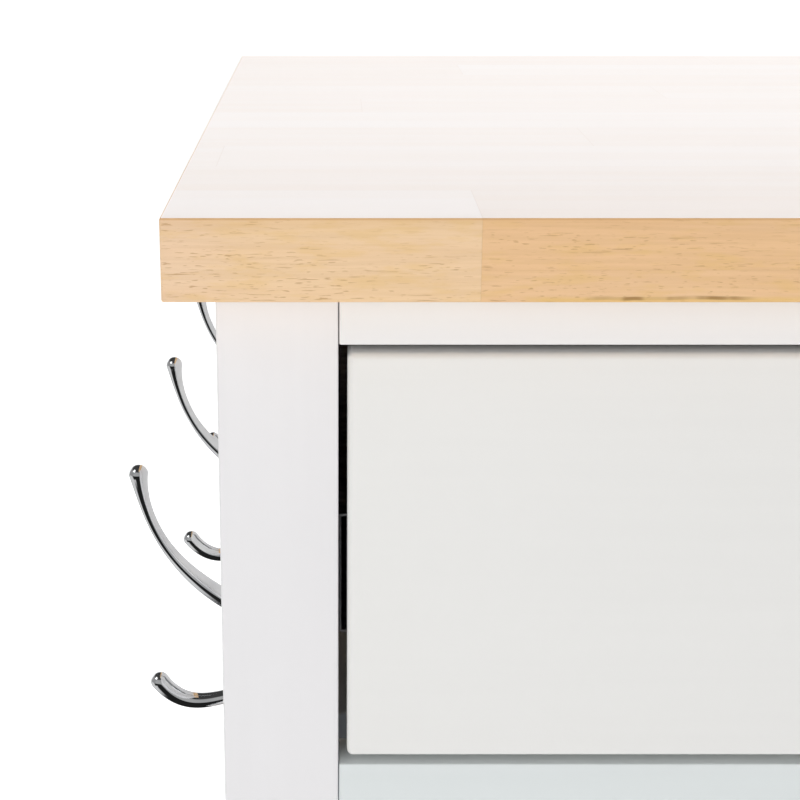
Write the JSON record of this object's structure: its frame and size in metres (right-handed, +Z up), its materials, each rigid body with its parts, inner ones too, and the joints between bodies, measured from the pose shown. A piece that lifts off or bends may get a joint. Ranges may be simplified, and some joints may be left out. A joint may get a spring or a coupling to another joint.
{
  "type": "kitchen island cart",
  "caption": "Kitchen island cart with a thick wooden worktop, white painted frame, one wide drawer, open shelves, chrome coat hooks on one side and locking swivel casters.",
  "frame": {"origin": "on the floor, under the middle of the cart's outline seen from above, coat hooks and drawer pull included", "axes": "+X to the cart's right, +Y to its back, +Z up; the drawer opens towards -Y"},
  "size_m": [0.824, 0.5248, 0.9],
  "materials": {
    "worktop_wood": "oiled solid hardwood staves, light and fine-grained",
    "white_paint": "satin white paint over wood",
    "inner_wood": "plain sanded pale wood",
    "chrome": "bright polished plating",
    "zinc_steel": "bright zinc plate",
    "rubber": "dark grey thermoplastic rubber",
    "grey_plastic": "moulded nylon",
    "black_plastic": "moulded nylon"
  },
  "bodies": {
    "frame": {"worktop": "worktop_wood", "post_front_left": "white_paint", "post_front_right": "white_paint", "post_back_left": "white_paint", "post_back_right": "white_paint", "top_rail": "white_paint", "lower_rail": "white_paint", "side_panel_left": "white_paint", "side_panel_right": "white_paint", "back_panel": "white_paint", "runner_left": "white_paint", "runner_right": "white_paint", "slide_outer_left": "zinc_steel", "slide_outer_right": "zinc_steel", "coat_hook_front": "chrome", "coat_hook_middle": "chrome", "coat_hook_back": "chrome", "bottom_shelf_board": "white_paint", "bottom_shelf_rail_front": "white_paint", "bottom_shelf_rail_back": "white_paint", "bottom_shelf_rail_left": "white_paint", "bottom_shelf_rail_right": "white_paint", "middle_shelf_board": "white_paint", "middle_shelf_rail_front": "white_paint", "middle_shelf_rail_back": "white_paint", "middle_shelf_rail_left": "white_paint", "middle_shelf_rail_right": "white_paint", "caster_front_left_stem": "zinc_steel", "caster_front_right_stem": "zinc_steel", "caster_back_left_stem": "zinc_steel", "caster_back_right_stem": "zinc_steel"},
    "drawer": {"drawer_front": "white_paint", "drawer_box_front": "inner_wood", "drawer_box_back": "inner_wood", "drawer_side_left": "inner_wood", "drawer_side_right": "inner_wood", "drawer_bottom": "inner_wood", "drawer_pull": "chrome", "slide_inner_left": "zinc_steel", "slide_inner_right": "zinc_steel"},
    "slide_middle_left_body": {"slide_middle_left": "zinc_steel"},
    "slide_middle_right_body": {"slide_middle_right": "zinc_steel"},
    "caster_front_left_swivel_body": {"caster_front_left_fork": "zinc_steel", "caster_front_left_axle": "zinc_steel"},
    "caster_front_left_wheel_body": {"caster_front_left_tyre": "rubber", "caster_front_left_hub": "grey_plastic"},
    "caster_front_left_brake_body": {"caster_front_left_brake": "black_plastic"},
    "caster_front_right_swivel_body": {"caster_front_right_fork": "zinc_steel", "caster_front_right_axle": "zinc_steel"},
    "caster_front_right_wheel_body": {"caster_front_right_tyre": "rubber", "caster_front_right_hub": "grey_plastic"},
    "caster_front_right_brake_body": {"caster_front_right_brake": "black_plastic"},
    "caster_back_left_swivel_body": {"caster_back_left_fork": "zinc_steel", "caster_back_left_axle": "zinc_steel"},
    "caster_back_left_wheel_body": {"caster_back_left_tyre": "rubber", "caster_back_left_hub": "grey_plastic"},
    "caster_back_right_swivel_body": {"caster_back_right_fork": "zinc_steel", "caster_back_right_axle": "zinc_steel"},
    "caster_back_right_wheel_body": {"caster_back_right_tyre": "rubber", "caster_back_right_hub": "grey_plastic"}
  },
  "joints": [
    {"name": "drawer_travel", "type": "slide", "parent": "frame", "child": "drawer", "axis": [0, -1, 0], "range_m": [0, 0.38]},
    {"name": "slide_middle_left_travel", "type": "slide", "parent": "frame", "child": "slide_middle_left_body", "axis": [0, -1, 0], "range_m": [0, 0.19]},
    {"name": "slide_middle_right_travel", "type": "slide", "parent": "frame", "child": "slide_middle_right_body", "axis": [0, -1, 0], "range_m": [0, 0.19]},
    {"name": "caster_front_left_swivel", "type": "hinge", "parent": "frame", "child": "caster_front_left_swivel_body", "pos_m": [-0.35203, -0.21162, 0.06], "axis": [0, 0, 1], "continuous": true},
    {"name": "caster_front_left_roll", "type": "hinge", "parent": "caster_front_left_swivel_body", "child": "caster_front_left_wheel_body", "pos_m": [-0.35203, -0.19362, 0.025], "axis": [1, 0, 0], "continuous": true},
    {"name": "caster_front_left_brake_press", "type": "hinge", "parent": "caster_front_left_swivel_body", "child": "caster_front_left_brake_body", "pos_m": [-0.35203, -0.17858, 0.05003], "axis": [-1, 0, 0], "range_deg": [0, 20]},
    {"name": "caster_front_right_swivel", "type": "hinge", "parent": "frame", "child": "caster_front_right_swivel_body", "pos_m": [0.37597, -0.21162, 0.06], "axis": [0, 0, 1], "continuous": true},
    {"name": "caster_front_right_roll", "type": "hinge", "parent": "caster_front_right_swivel_body", "child": "caster_front_right_wheel_body", "pos_m": [0.37597, -0.19362, 0.025], "axis": [1, 0, 0], "continuous": true},
    {"name": "caster_front_right_brake_press", "type": "hinge", "parent": "caster_front_right_swivel_body", "child": "caster_front_right_brake_body", "pos_m": [0.37597, -0.17858, 0.05003], "axis": [-1, 0, 0], "range_deg": [0, 20]},
    {"name": "caster_back_left_swivel", "type": "hinge", "parent": "frame", "child": "caster_back_left_swivel_body", "pos_m": [-0.35203, 0.22638, 0.06], "axis": [0, 0, 1], "continuous": true},
    {"name": "caster_back_left_roll", "type": "hinge", "parent": "caster_back_left_swivel_body", "child": "caster_back_left_wheel_body", "pos_m": [-0.35203, 0.20838, 0.025], "axis": [1, 0, 0], "continuous": true},
    {"name": "caster_back_right_swivel", "type": "hinge", "parent": "frame", "child": "caster_back_right_swivel_body", "pos_m": [0.37597, 0.22638, 0.06], "axis": [0, 0, 1], "continuous": true},
    {"name": "caster_back_right_roll", "type": "hinge", "parent": "caster_back_right_swivel_body", "child": "caster_back_right_wheel_body", "pos_m": [0.37597, 0.20838, 0.025], "axis": [1, 0, 0], "continuous": true}
  ],
  "couplings": [
    {"joint": "slide_middle_left_travel", "follows": "drawer_travel", "ratio": 0.5},
    {"joint": "slide_middle_right_travel", "follows": "drawer_travel", "ratio": 0.5}
  ]
}
